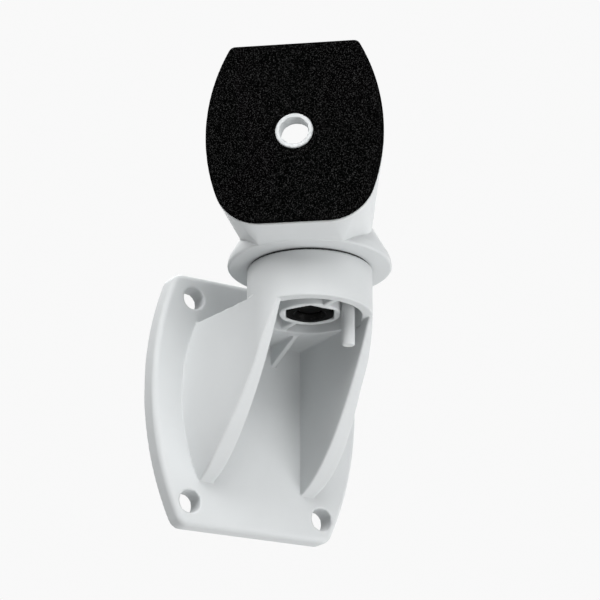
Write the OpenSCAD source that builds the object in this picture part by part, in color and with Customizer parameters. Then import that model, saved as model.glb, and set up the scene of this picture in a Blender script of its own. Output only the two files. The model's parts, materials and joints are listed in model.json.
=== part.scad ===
// Swivel wall bracket for a small device.
// Units are millimetres and +Z is up. The wall is the plane y = 0 and the bracket stands out along -Y.
// The origin is the centre of the wall plate's back face.

/* [Wall plate] */

// Greatest width
plate_w = 56.8; // [50:0.2:70]

// Radius of the bowed sides
plate_side_r = 77; // [50:1:140]

// Height of the widest place above the middle
plate_widest = 3.4; // [0:0.2:6]

// Height
plate_h = 62.4; // [56:0.2:80]

// Thickness
plate_t = 5.2; // [4:0.1:8]

// Corner radius
plate_corner_r = 3.4; // [1:0.1:6]

// Wall screw hole diameter
wall_hole_d = 5.5; // [4:0.1:7]

// Distance between wall screw holes, left to right
wall_hole_x = 36; // [32:0.5:42]

// Distance between wall screw holes, up and down
wall_hole_z = 50.6; // [48:0.2:60]

/* [Gussets and deck] */

// Clear distance between the two gussets
gusset_gap = 23.8; // [18:0.1:26]

// Width over both gussets where they meet the plate
gusset_base_w = 41.6; // [32:0.2:48]

// Radius of the bowed line where a gusset meets the plate
gusset_base_r = 48; // [40:1:90]

// Height above the origin where that line is widest
gusset_widest = 1; // [-4:0.5:6]

// How far the gussets reach in front of the swivel axis
gusset_front = 7.4; // [2:0.2:8]

// How strongly the gussets flare close to the plate
gusset_flare = 1.4; // [1:0.1:2]

// Depth of the gusset foot below the origin
gusset_foot = 20.2; // [12:0.2:22]

// Pull on the gusset edge's curve at its foot, outwards and upwards
foot_pull = [11.6, 2.4]; // [0:0.2:20]

// Pull on the gusset edge's curve at its top, outwards and upwards
top_pull = [7, 15.2]; // [0:0.2:20]

// Height of the deck's top above the origin
deck_top = 19.2; // [14:0.2:22]

// Deck thickness
deck_t = 2.6; // [2:0.1:5]

// Thickness of the ribs under the deck and in the hub
rib_t = 1.4; // [1:0.1:2.4]

// Distance between the two ribs under the deck
rib_pitch = 8.4; // [4:0.2:14]

// Depth of the ribs under the deck where they meet the plate
rib_depth = 5.4; // [2:0.2:12]

/* [Hub] */

// Distance from the wall to the swivel axis
hub_reach = 30; // [26:0.5:45]

// Outside diameter
hub_d = 29.8; // [28:0.2:36]

// Height
hub_h = 11.4; // [9:0.2:18]

// Wall thickness
hub_wall = 2.6; // [1.4:0.1:3]

// How far the hub reaches below the deck
hub_drop = 0.4; // [0:0.1:2]

// Roof thickness
hub_roof = 3; // [2:0.1:5]

// Diameter of the boss that holds the nut
boss_d = 14.6; // [14.2:0.1:15]

// Depth of the nut below the boss's rim
nut_recess = 0.5; // [0:0.1:2]

/* [Swivel head] */

// Turn of the head from straight ahead
head_turn = -38; // [-74:1:74]

// Distance from the swivel axis to the front of the pad
pad_front = 28; // [26:0.5:40]

// Height of the screw hole for the device above the skirt's underside
device_hole_up = 23.6; // [22:0.2:40]

// Diameter of the screw hole for the device
device_hole_d = 7; // [4:0.1:9]

// Device plate thickness
head_plate_t = 2.8; // [2:0.1:5]

// Wall thickness of the hollow arm
head_wall = 2.4; // [1.6:0.1:4]

// Neck diameter
neck_d = 28; // [26:0.5:40]

// Height of the neck's rear edge above the skirt's underside
neck_h = 14; // [12:0.5:20]

// Height of the tapered foot of the neck, inside the skirt
neck_foot_h = 3.5; // [1:0.5:6]

// How far the neck's foot draws in
neck_foot_in = 4.5; // [1:0.5:8]

// Floor thickness
floor_t = 6; // [4:0.1:9]

// Skirt diameter
skirt_d = 39.2; // [32:0.2:48]

// Height of the skirt's straight rim
skirt_rim = 1.6; // [1:0.1:4]

// Height of the skirt's flare
skirt_flare_h = 10; // [4:0.2:12]

/* [Stop post] */

// Diameter
post_d = 2.9; // [2:0.1:3.2]

// Distance from the swivel axis
post_r = 9.2; // [9:0.1:9.6]

// How far it reaches below the hub
post_drop = 7.6; // [2:0.2:14]

// Room between the post and the hub
post_clear = 0.4; // [0.3:0.05:0.8]

/* [Pad] */

// Width at mid height
pad_w = 41.2; // [34:0.2:60]

// Width at the top edge
pad_top_w = 29.8; // [20:0.2:50]

// Height
pad_h = 44.6; // [38:0.2:70]

// Foam thickness
pad_t = 1.3; // [0.8:0.1:4]

// Adhesive film thickness
film_t = 0.2; // [0.1:0.05:0.4]

// Top corner radius
pad_top_r = 1.5; // [0.5:0.1:6]

// Bottom corner radius
pad_bottom_r = 11; // [2:0.5:14]

// Diameter of the hole in the pad
pad_hole_d = 8.8; // [7.4:0.1:12]

// Plate margin around the pad
pad_margin = 0.4; // [0:0.1:2]

// How far the adhesive film lies inside the pad's edges
film_inset = 0.3; // [0:0.1:1]

/* [Pivot hardware] */

// Bolt diameter
bolt_d = 6.35; // [5:0.05:6.5]

// How far the bolt's end stops inside the nut's lower face
bolt_short = 1.2; // [0:0.1:3]

// Bolt head diameter
bolt_head_d = 9.5; // [8:0.1:11]

// Bolt head height
bolt_head_h = 6.3; // [4:0.1:7]

// Hexagon socket across flats
bolt_key = 4.8; // [3:0.1:6]

// Nut size across flats
nut_af = 11.1; // [9:0.1:11.4]

// Nut height
nut_h = 5.6; // [4:0.1:6.5]

// Room between the nut and its pocket
nut_clear = 0.1; // [0.05:0.05:0.3]

// Room between the bolt and its holes, on the radius
bolt_clear = 0.08; // [0.02:0.01:0.1]

// Washer outside diameter
washer_d = 14; // [12:0.2:16]

// Flat washer thickness
washer_t = 1.2; // [0.8:0.1:2]

// Spring washer thickness
spring_t = 1.6; // [1:0.1:2]

// Spring washer outside diameter
spring_d = 12.2; // [10:0.1:13]

// Width of the split in the spring washer
split_w = 0.8; // [0.4:0.1:1.6]

// Room between the bolt and the flat washer, on the radius
washer_clear = 0.28; // [0.1:0.02:0.5]

// Friction ring thickness
ring_t = 0.5; // [0.3:0.1:1.5]

// Friction ring width
ring_w = 2.4; // [1.4:0.1:2.6]

// How far the friction ring lies inside the hub's edge
ring_inset = 0.5; // [0.2:0.1:1]

/* [Hidden] */

$fn = 96;

// Thickness of a slice, how far a cut runs past a face and how far joined shapes bite into each other
eps = 0.01;
over = 1;
bite = 0.5;

plastic_colour = [0.88, 0.89, 0.89];
foam_colour = [0.06, 0.06, 0.065];
film_colour = [0.62, 0.6, 0.55];
nut_colour = [0.05, 0.05, 0.055];
steel_colour = [0.62, 0.63, 0.65];
ring_colour = [0.12, 0.12, 0.12];

// Where the split in the spring washer faces, in degrees from +X
split_turn = 200;

hub_r = hub_d / 2;
deck_bottom = deck_top - deck_t;
hub_bottom = deck_bottom - hub_drop;
hub_top = hub_bottom + hub_h;
roof_bottom = hub_top - hub_roof;
bolt_hole_r = bolt_d / 2 + bolt_clear;
nut_bottom = hub_bottom + nut_recess;
nut_top = nut_bottom + nut_h;
front_y = hub_reach + hub_r;

skirt_bottom = hub_top + ring_t;
floor_top = skirt_bottom + floor_t;
neck_r = neck_d / 2;
device_hole_z = skirt_bottom + device_hole_up;
pad_side_r = bow_r(pad_w, pad_top_w, pad_h);
plate_front = pad_front - pad_t - film_t;
plate_back = plate_front - head_plate_t;
washer_top = floor_top + washer_t;
seat_z = washer_top + spring_t;
bolt_len = seat_z - nut_bottom - bolt_short;

// Radius of an arc that narrows a width by two equal bows over a height
function bow_r(mid_w, end_w, h) = (pow((mid_w - end_w) / 2, 2) + pow(h / 2, 2)) / (mid_w - end_w);

// A point on the curved front edge of a gusset, as [distance from the wall, height]
function edge_point(t) =
    pow(1 - t, 3) * edge_foot + 3 * t * pow(1 - t, 2) * edge_low
    + 3 * t * t * (1 - t) * edge_high + pow(t, 3) * edge_top;

// The edge runs from the plate to the hub; each end is pulled into the curve by [outwards, upwards]
edge_foot = [plate_t, -gusset_foot];
edge_top = [hub_reach + gusset_front, hub_bottom];
edge_low = edge_foot + foot_pull;
edge_high = edge_top - top_pull;

// Half the width over the gussets at a height, at a share of the way from the hub to the plate
function base_half(z) =
    gusset_base_w / 2 - gusset_base_r + sqrt(pow(gusset_base_r, 2) - pow(z - gusset_widest, 2));
function flare_half(z, share) = hub_r + (base_half(z) - hub_r) * pow(share, gusset_flare);

// Draw a child at the swivel axis, turned with the head
module on_head() {
    translate([0, -hub_reach, 0])
        rotate([0, 0, head_turn])
            children();
}

// Stand an outline up in the x-z plane, its thickness reaching from y = -near to y = -far
module stand(near, far) {
    translate([0, -near, 0])
        rotate([90, 0, 0])
            linear_extrude(far - near)
                children();
}

// A barrel shape: flat top and bottom, sides bowed outwards and widest at a height
module barrel(w, r, h, widest) {
    intersection() {
        square([w, h], center = true);
        translate([w / 2 - r, widest])
            circle(r, $fn = 180);
        translate([r - w / 2, widest])
            circle(r, $fn = 180);
    }
}

// Round the convex corners of a child outline
module round_corners(r) {
    offset(r)
        offset(-r)
            children();
}

// The pad's outline, larger than the pad by a margin
module pad_outline(margin) {
    offset(margin)
        union() {
            intersection() {
                round_corners(pad_top_r)
                    barrel(pad_w, pad_side_r, pad_h, 0);
                translate([-pad_w, 0])
                    square([2 * pad_w, pad_h]);
            }
            intersection() {
                round_corners(pad_bottom_r)
                    barrel(pad_w, pad_side_r, pad_h, 0);
                translate([-pad_w, -pad_h])
                    square([2 * pad_w, pad_h + eps]);
            }
        }
}

module wall_plate() {
    stand(0, plate_t)
        round_corners(plate_corner_r)
            barrel(plate_w, plate_side_r, plate_h, plate_widest);
}

// One cross-section of the flared column that the gussets are cut from
module flare_slice(share) {
    y = plate_t + (1 - share) * (hub_reach - plate_t);
    heights = [for (i = [0:12]) -gusset_foot + (deck_top + gusset_foot) * i / 12];
    right = [for (z = heights) [flare_half(z, share), z]];
    left = [for (i = [12:-1:0]) [-flare_half(heights[i], share), heights[i]]];
    stand(y - eps, y)
        polygon(concat(right, left));
}

module flared_column() {
    hull() {
        flare_slice(1);
        flare_slice(0.66);
    }
    hull() {
        flare_slice(0.66);
        flare_slice(0.33);
    }
    hull() {
        flare_slice(0.33);
        flare_slice(0);
    }
    translate([0, -hub_reach, -gusset_foot])
        cylinder(h = deck_top + gusset_foot, r = hub_r);
}

// The gussets' side view, seen along x
module gusset_profile() {
    edge = [for (i = [0:14]) edge_point(i / 14)];
    inside = plate_t - over;
    polygon(concat(
        edge,
        [[front_y, hub_bottom], [front_y, deck_top], [inside, deck_top], [inside, -gusset_foot]]
    ));
}

module gussets_and_deck() {
    difference() {
        intersection() {
            union() {
                flared_column();
                stand(plate_t - over, plate_t)
                    translate([-gusset_gap / 2, -gusset_foot])
                        square([gusset_gap, gusset_foot + deck_top]);
            }
            rotate([90, 0, -90])
                linear_extrude(2 * gusset_base_w, center = true)
                    gusset_profile();
        }
        translate([-gusset_gap / 2, -front_y - over, -gusset_foot - over])
            cube([gusset_gap, front_y + over - plate_t, gusset_foot + over + deck_bottom]);
    }
}

// Two ribs under the deck, from the plate to the back of the hub
module deck_ribs() {
    rib_end = hub_reach - sqrt(pow(hub_r, 2) - pow(rib_pitch / 2 + rib_t / 2, 2)) + hub_wall / 2;
    for (x = [-1, 1])
        translate([x * rib_pitch / 2, 0, 0])
            rotate([90, 0, -90])
                linear_extrude(rib_t, center = true)
                    polygon([
                        [plate_t - over, deck_bottom + bite],
                        [rib_end, deck_bottom + bite],
                        [rib_end, hub_bottom],
                        [plate_t, deck_bottom - rib_depth],
                        [plate_t - over, deck_bottom - rib_depth]
                    ]);
}

// Straight ribs from the boss to the hub's wall, one in front and one behind
module hub_ribs() {
    translate([-rib_t / 2, -hub_reach - hub_r + hub_wall / 2, hub_bottom])
        cube([rib_t, 2 * hub_r - hub_wall, hub_h - hub_roof / 2]);
}

module hub_cavity() {
    translate([0, -hub_reach, hub_bottom - over])
        cylinder(h = roof_bottom - hub_bottom + over, r = hub_r - hub_wall);
}

// The way that the stop post takes through the roof, from rib to rib on the right-hand side
module stop_slot() {
    reach = 90 - asin(rib_t / 2 / post_r);
    translate([0, -hub_reach, roof_bottom - over])
        rotate([0, 0, -reach])
            rotate_extrude(angle = 2 * reach)
                translate([post_r - post_d / 2 - post_clear, 0])
                    square([post_d + 2 * post_clear, hub_roof + 2 * over]);
}

module nut_pocket() {
    translate([0, -hub_reach, hub_bottom - over])
        cylinder(h = nut_top - hub_bottom + over, d = (nut_af + 2 * nut_clear) / cos(30), $fn = 6);
}

module wall_holes() {
    for (x = [-1, 1], z = [-1, 1])
        translate([x * wall_hole_x / 2, over, z * wall_hole_z / 2])
            rotate([90, 0, 0])
                cylinder(h = plate_t + 2 * over, d = wall_hole_d);
}

module wall_bracket() {
    color(plastic_colour)
        difference() {
            union() {
                difference() {
                    union() {
                        wall_plate();
                        gussets_and_deck();
                        translate([0, -hub_reach, hub_bottom])
                            cylinder(h = hub_h, r = hub_r);
                    }
                    hub_cavity();
                    stop_slot();
                }
                translate([0, -hub_reach, hub_bottom])
                    cylinder(h = hub_h - hub_roof / 2, d = boss_d);
                hub_ribs();
                deck_ribs();
            }
            nut_pocket();
            wall_holes();
            translate([0, -hub_reach, hub_bottom - over])
                cylinder(h = hub_h + 2 * over, r = bolt_hole_r);
        }
}

module friction_ring() {
    color(ring_colour)
        translate([0, -hub_reach, hub_top])
            difference() {
                cylinder(h = ring_t, r = hub_r - ring_inset);
                translate([0, 0, -over])
                    cylinder(h = ring_t + 2 * over, r = hub_r - ring_inset - ring_w);
            }
}

module hex_nut() {
    color(nut_colour)
        translate([0, -hub_reach, nut_bottom])
            difference() {
                cylinder(h = nut_h, d = nut_af / cos(30), $fn = 6);
                translate([0, 0, -over])
                    cylinder(h = nut_h + 2 * over, r = bolt_hole_r);
            }
}

module pivot_bolt() {
    color(steel_colour)
        translate([0, -hub_reach, seat_z])
            difference() {
                union() {
                    translate([0, 0, -bolt_len])
                        cylinder(h = bolt_len + over, d = bolt_d);
                    cylinder(h = bolt_head_h, d = bolt_head_d);
                }
                translate([0, 0, bolt_head_h / 2])
                    cylinder(h = bolt_head_h, d = bolt_key / cos(30), $fn = 6);
            }
}

module lock_washer() {
    color(steel_colour)
        translate([0, -hub_reach, washer_top])
            difference() {
                cylinder(h = spring_t, d = spring_d);
                translate([0, 0, -over])
                    cylinder(h = spring_t + 2 * over, r = bolt_hole_r);
                rotate([0, 0, split_turn])
                    translate([0, -split_w / 2, -over])
                        cube([spring_d, split_w, spring_t + 2 * over]);
            }
}

module flat_washer() {
    color(steel_colour)
        translate([0, -hub_reach, floor_top])
            difference() {
                cylinder(h = washer_t, d = washer_d);
                translate([0, 0, -over])
                    cylinder(h = washer_t + 2 * over, r = bolt_d / 2 + washer_clear);
            }
}

// The skirt: a straight rim, then a flare that narrows to the neck
module skirt() {
    translate([0, 0, skirt_bottom]) {
        cylinder(h = skirt_rim, d = skirt_d);
        translate([0, 0, skirt_rim])
            cylinder(h = skirt_flare_h, d1 = skirt_d, d2 = neck_d);
    }
}

module arm_solid() {
    hull() {
        translate([0, 0, device_hole_z])
            stand(plate_back, plate_front)
                pad_outline(pad_margin, $fn = 48);
        translate([0, 0, skirt_bottom]) {
            cylinder(h = neck_foot_h, r1 = neck_r - neck_foot_in, r2 = neck_r, $fn = 64);
            translate([0, 0, neck_foot_h])
                cylinder(h = neck_h - neck_foot_h, r = neck_r, $fn = 64);
        }
    }
}

// The hollow of the arm, with a level floor and open upwards and to the rear
module arm_hollow() {
    hull() {
        translate([0, 0, device_hole_z])
            stand(plate_back - eps, plate_back) {
                intersection() {
                    pad_outline(pad_margin - head_wall, $fn = 48);
                    translate([-pad_w, floor_top - device_hole_z])
                        square([2 * pad_w, pad_h]);
                }
                translate([head_wall - pad_top_w / 2, 0])
                    square([pad_top_w - 2 * head_wall, pad_h]);
            }
        translate([0, 0, floor_top])
            cylinder(h = neck_h + pad_h / 2, r = neck_r - head_wall, $fn = 64);
    }
}

module swivel_head() {
    color(plastic_colour)
        on_head() {
            difference() {
                union() {
                    skirt();
                    arm_solid();
                }
                arm_hollow();
                translate([0, 0, skirt_bottom - over])
                    cylinder(h = floor_t + 2 * over, r = bolt_hole_r);
                translate([0, over - plate_back, device_hole_z])
                    rotate([90, 0, 0])
                        cylinder(h = head_plate_t + 2 * over, d = device_hole_d);
            }
            translate([post_r, 0, hub_bottom - post_drop])
                cylinder(h = post_drop + skirt_bottom - hub_bottom + over, d = post_d);
        }
}

module pad_sheet(margin, near, far, hole_d) {
    on_head()
        translate([0, 0, device_hole_z])
            stand(near, far)
                difference() {
                    pad_outline(margin);
                    circle(d = hole_d);
                }
}

module pad_adhesive() {
    color(film_colour)
        pad_sheet(-film_inset, plate_front, plate_front + film_t, pad_hole_d + 2 * film_inset);
}

module foam_pad() {
    color(foam_colour)
        pad_sheet(0, plate_front + film_t, pad_front, pad_hole_d);
}

wall_bracket();
friction_ring();
hex_nut();
pivot_bolt();
lock_washer();
flat_washer();
swivel_head();
pad_adhesive();
foam_pad();
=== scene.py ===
"""Looks of a white swivel wall bracket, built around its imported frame.

Lengths are in millimetres and heights are measured from the middle of the wall plate, as on a
drawing. Meshes are made in metres. Each moulding and each fitting is first described by its signed
distance, which is negative inside the solid, so that every edge is rounded and every inner corner is
filled. It then gets a skin of even quads.
"""
import json
import logging
import math
from dataclasses import dataclass, field
from enum import Enum
from typing import Callable

import bmesh
import bpy
import numpy as np
import openvdb
from mathutils import Matrix, Vector, noise


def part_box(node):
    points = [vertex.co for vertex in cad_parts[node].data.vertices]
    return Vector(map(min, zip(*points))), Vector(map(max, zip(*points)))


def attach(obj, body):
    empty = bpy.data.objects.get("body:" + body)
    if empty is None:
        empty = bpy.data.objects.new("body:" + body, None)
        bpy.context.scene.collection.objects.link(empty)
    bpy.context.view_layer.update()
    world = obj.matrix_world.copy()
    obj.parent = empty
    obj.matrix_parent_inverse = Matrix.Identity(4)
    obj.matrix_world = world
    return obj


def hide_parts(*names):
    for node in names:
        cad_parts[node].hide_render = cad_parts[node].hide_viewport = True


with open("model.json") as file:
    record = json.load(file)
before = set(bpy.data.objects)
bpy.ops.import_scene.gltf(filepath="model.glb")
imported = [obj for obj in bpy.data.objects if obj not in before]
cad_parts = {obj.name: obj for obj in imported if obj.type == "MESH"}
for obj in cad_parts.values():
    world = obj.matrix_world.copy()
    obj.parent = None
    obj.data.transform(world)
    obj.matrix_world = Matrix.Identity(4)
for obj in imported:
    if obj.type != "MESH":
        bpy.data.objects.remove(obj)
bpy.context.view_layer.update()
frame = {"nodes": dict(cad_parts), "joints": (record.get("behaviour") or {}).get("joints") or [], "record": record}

log = logging.getLogger("swivel_bracket")

MM = 0.001
MIX_FACTOR, MIX_UNDER, MIX_OVER, MIX_RESULT = 0, 6, 7, 2  # colour sockets of a mix node

Array = np.ndarray
Socket = bpy.types.NodeSocket
Solid = Callable[[Array, Array, Array], Array]
Colour = tuple[float, float, float, float]
Box = tuple[Vector, Vector]


class Slot(Enum):
    """Material slots of the record that the pieces take their finish from."""

    PLASTIC = "white_plastic"
    RING = "dark_ring"
    BLACK_STEEL = "black_steel"
    ZINC = "zinc_steel"
    FILM = "adhesive"
    FOAM = "black_foam"


class Body(Enum):
    """Bodies of the frame that the pieces ride on."""

    BRACKET = "bracket"
    HEAD = "head"
    BOLT = "bolt"


def meet(a: Array, b: Array, r: float | Array) -> Array:
    """Keep what two solids share, with the edge between them rounded to r."""
    return np.minimum(np.maximum(a, b), -r) + np.hypot(np.maximum(a + r, 0.0), np.maximum(b + r, 0.0))


def join(a: Array, b: Array, r: float) -> Array:
    """Join two solids, with the inner corner between them filled to r."""
    return np.maximum(np.minimum(a, b), r) - np.hypot(np.maximum(r - a, 0.0), np.maximum(r - b, 0.0))


def cut(a: Array, b: Array, r: float) -> Array:
    """Cut the second solid out of the first, with the edge of the cut rounded to r."""
    return meet(a, -b, r)


def between(value: Array, low: float, high: float) -> Array:
    """Distance outside the slab from low to high."""
    return np.maximum(low - value, value - high)


def hexagon(u: Array, v: Array, across_flats: float) -> Array:
    """Measure how far points lie outside a hexagon that has a corner on the u axis.

    Args:
        u: First coordinate of the points.
        v: Second coordinate of the points.
        across_flats: Width of the hexagon.

    Returns:
        Distance, negative inside.
    """
    lean = math.radians(30.0)
    slanted = np.abs(u) * math.cos(lean) + np.abs(v) * math.sin(lean)
    return np.maximum(slanted, np.abs(v)) - across_flats / 2


def right_of_line(line: Array, u: Array, v: Array) -> Array:
    """Measure how far points lie to the right of an open line of points.

    Args:
        line: Points of the line, one per row.
        u: First coordinate of the points.
        v: Second coordinate of the points.

    Returns:
        Distance from the line, negative on its left.
    """
    u, v = np.broadcast_arrays(u, v)
    nearest = np.full(u.shape, np.inf)
    side = np.ones(u.shape)
    for start, end in zip(line[:-1], line[1:]):
        run = end - start
        du = u - start[0]
        dv = v - start[1]
        along = np.clip((du * run[0] + dv * run[1]) / (run @ run), 0.0, 1.0)
        gap = np.hypot(du - along * run[0], dv - along * run[1])
        closer = gap < nearest
        nearest = np.where(closer, gap, nearest)
        side = np.where(closer, np.sign(du * run[1] - dv * run[0]), side)
    return nearest * side


@dataclass(frozen=True)
class BarrelOutline:
    """A flat outline with level ends and bowed sides.

    Attributes:
        width: Greatest width.
        height: Height over the ends.
        side_r: Radius of the bowed sides.
        widest: Where it is widest, above its middle.
        top_r: Radius of the upper corners.
        bottom_r: Radius of the lower corners.
    """

    width: float
    height: float
    side_r: float
    widest: float
    top_r: float
    bottom_r: float

    @property
    def side_u(self) -> float:
        """Where the centre of the right-hand side's arc lies."""
        return self.width / 2 - self.side_r

    def grown(self, margin: float) -> "BarrelOutline":
        """Move the outline outwards.

        Args:
            margin: How far, or inwards where it is negative.

        Returns:
            The new outline.
        """
        sharpest = 0.05
        return BarrelOutline(
            self.width + 2 * margin,
            self.height + 2 * margin,
            self.side_r + margin,
            self.widest,
            max(self.top_r + margin, sharpest),
            max(self.bottom_r + margin, sharpest),
        )

    def corner(self, upper: bool) -> tuple[float, float, float]:
        """Find a right-hand corner's arc.

        Args:
            upper: Whether it is the upper corner.

        Returns:
            The arc's centre, as two coordinates, and its radius.
        """
        r = self.top_r if upper else self.bottom_r
        v = (self.height / 2 - r) * (1.0 if upper else -1.0)
        u = self.side_u + math.sqrt((self.side_r - r) ** 2 - (v - self.widest) ** 2)
        return u, v, r

    def distance(self, u: Array, v: Array) -> Array:
        """Measure how far points lie outside the outline.

        Args:
            u: Sideways coordinate.
            v: Upward coordinate.

        Returns:
            Distance, negative inside.
        """
        u = np.abs(u)
        side = np.hypot(u - self.side_u, v - self.widest) - self.side_r
        distance = np.maximum(side, np.abs(v) - self.height / 2)
        for upper in (True, False):
            corner_u, corner_v, r = self.corner(upper)
            rise = corner_v - self.widest
            turn = (corner_u - self.side_u) * (v - self.widest) - rise * (u - self.side_u)
            in_corner = (u > corner_u) & ((turn > 0.0) if upper else (turn < 0.0))
            distance = np.where(in_corner, np.hypot(u - corner_u, v - corner_v) - r, distance)
        return distance

    def rim(self, steps: int) -> Array:
        """Give points along the outline.

        Args:
            steps: Points in each of its arcs.

        Returns:
            The points, one per row.
        """
        low_u, low_v, low_r = self.corner(False)
        top_u, top_v, top_r = self.corner(True)
        low_lean = math.atan2(low_v - self.widest, low_u - self.side_u)
        top_lean = math.atan2(top_v - self.widest, top_u - self.side_u)
        arcs = (
            (low_u, low_v, low_r, -math.pi / 2, low_lean),
            (self.side_u, self.widest, self.side_r, low_lean, top_lean),
            (top_u, top_v, top_r, top_lean, math.pi / 2),
        )
        right = []
        for u, v, r, start, end in arcs:
            angles = np.linspace(start, end, steps)
            right.append(np.stack([u + r * np.cos(angles), v + r * np.sin(angles)], axis=1))
        right = np.concatenate(right)
        return np.concatenate([right, right * (-1.0, 1.0)])


class StretchedSolid:
    """A solid stretched tightly over a cloud of points.

    Attributes:
        batch: How many points are measured at a time.
        normals: The way that each plane of the cover faces.
        reaches: How far out each plane lies that way.
    """

    batch: int = 2000

    def __init__(self, points: Array) -> None:
        """Find the planes of the tight cover.

        Args:
            points: The cloud, one point per row.
        """
        cover = bmesh.new()
        for point in points:
            cover.verts.new(point)
        bmesh.ops.convex_hull(cover, input=cover.verts)
        cover.normal_update()
        faces = [face for face in cover.faces if face.calc_area() > 0.0]
        self.normals = np.array([face.normal for face in faces], np.float32)
        corners = np.array([face.verts[0].co for face in faces], np.float32)
        self.reaches = np.sum(self.normals * corners, axis=1)
        cover.free()

    def __call__(self, x: Array, y: Array, z: Array) -> Array:
        """Measure how far points lie outside the solid.

        Args:
            x: First coordinate.
            y: Second coordinate.
            z: Third coordinate.

        Returns:
            Distance, negative inside.
        """
        x, y, z = np.broadcast_arrays(x, y, z)
        points = np.stack([x.ravel(), y.ravel(), z.ravel()], axis=1).astype(np.float32)
        distance = np.empty(len(points), np.float32)
        for start in range(0, len(points), self.batch):
            some = slice(start, start + self.batch)
            distance[some] = (points[some] @ self.normals.T - self.reaches).max(axis=1)
        return distance.reshape(x.shape)


@dataclass(frozen=True)
class Skin:
    """Covers a solid with a skin of even quads.

    Attributes:
        cell: Size of a quad.
        rounds: How often the quads are evened out.
        margin: Free cells around the solid.
        probe: Step over which a slope is measured, in cells.
        longest_move: How far a point is moved at a time, in cells.
        flattest: Smallest square of a slope that a move is divided by.
    """

    cell: float
    rounds: int = 2
    margin: int = 3
    probe: float = 0.125
    longest_move: float = 0.5
    flattest: float = 0.25

    def slope(self, solid: Solid, points: Array) -> Array:
        """Find the direction in which a solid's distance grows.

        Args:
            solid: The solid.
            points: Where to look, one point per row.

        Returns:
            The gradient, one per row.
        """
        step = self.probe * self.cell
        columns = []
        for axis in range(3):
            shift = np.zeros(3)
            shift[axis] = step
            ahead = solid(*(points + shift).T)
            behind = solid(*(points - shift).T)
            columns.append((ahead - behind) / (2 * step))
        return np.stack(columns, axis=1)

    def settle(self, solid: Solid, points: Array) -> Array:
        """Move points straight onto a solid's surface.

        Args:
            solid: The solid.
            points: Points near the surface, one per row.

        Returns:
            The moved points.
        """
        slope = self.slope(solid, points)
        steepness = np.maximum(np.sum(slope**2, axis=1), self.flattest)
        longest = self.longest_move * self.cell
        move = np.clip(solid(*points.T) / steepness, -longest, longest)
        return points - move[:, None] * slope

    def even_out(self, points: Array, quads: Array) -> Array:
        """Move each point half way to the middle of the quads around it.

        Args:
            points: Corners of the quads, one per row.
            quads: Numbers of each quad's corners, one quad per row.

        Returns:
            The moved points.
        """
        middles = np.repeat(points[quads].mean(axis=1), quads.shape[1], axis=0)
        corners = quads.ravel()
        shares = np.bincount(corners, minlength=len(points))
        sums = [np.bincount(corners, middles[:, axis], len(points)) for axis in range(3)]
        centres = np.stack(sums, axis=1) / np.maximum(shares, 1)[:, None]
        return (points + centres) / 2

    def wrap(self, name: str, solid: Solid, box: Box, place: Matrix) -> bpy.types.Object:
        """Make an object of a solid.

        Args:
            name: Name of the new object.
            solid: The solid.
            box: Lowest and highest corner of the solid, in its own frame.
            place: Where that frame lies in the row's.

        Returns:
            The new object, with its shape in its mesh.
        """
        pad = self.margin * self.cell
        axes = [np.arange(a - pad, b + pad, self.cell) for a, b in zip(*box)]
        x, y, z = np.meshgrid(*axes, indexing="ij", sparse=True)
        values = np.broadcast_to(solid(x, y, z), [len(axis) for axis in axes])
        grid = openvdb.FloatGrid()
        grid.copyFromArray(np.ascontiguousarray(values, np.float32))
        points, quads = grid.convertToQuads(0.0)
        points = points.astype(float) * self.cell + [axis[0] for axis in axes]
        for _ in range(self.rounds):
            points = self.settle(solid, self.even_out(points, quads))
        points = self.settle(solid, points)
        normals = self.slope(solid, points)
        lengths = np.linalg.norm(normals, axis=1)
        normals /= np.where(lengths > 0.0, lengths, 1.0)[:, None]
        turned = np.array(place.to_3x3())
        mesh = bpy.data.meshes.new(name)
        mesh.from_pydata((points @ turned.T + place.translation) * MM, [], quads.tolist())
        mesh.shade_smooth()
        mesh.normals_split_custom_set_from_vertices(normals @ turned.T)
        piece = bpy.data.objects.new(name, mesh)
        bpy.context.scene.collection.objects.link(piece)
        return piece


def node_box(node: str) -> Box:
    """Lowest and highest corner of a frame node at rest, in millimetres."""
    low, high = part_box(node)
    return low / MM, high / MM


def mount(name: str) -> dict:
    """The record's entry for a mount."""
    return next(entry for entry in frame["record"]["mounts"] if entry["name"] == name)


def joint(name: str) -> dict:
    """The frame's entry for a joint."""
    return next(entry for entry in frame["joints"] if entry["name"] == name)


@dataclass(frozen=True)
class Swivel:
    """The upright axis that the head and the bolt turn on.

    Attributes:
        reach: How far the axis stands out from the wall.
        turn: How far the head is turned from straight ahead.
    """

    reach: float
    turn: float

    @classmethod
    def from_frame(cls) -> "Swivel":
        """Read the axis and the head's turn at rest from the frame."""
        faces = mount("pad_face")["axis"]
        return cls(-joint("head_swivel")["pos_m"][1] / MM, math.atan2(faces[0], -faces[1]))

    @property
    def upright(self) -> Matrix:
        """A frame on the axis that is square to the wall."""
        return Matrix.Translation((0.0, -self.reach, 0.0))

    @property
    def turned(self) -> Matrix:
        """A frame on the axis that is turned with the head, which faces its -Y."""
        return self.upright @ Matrix.Rotation(self.turn, 4, "Z")


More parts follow.
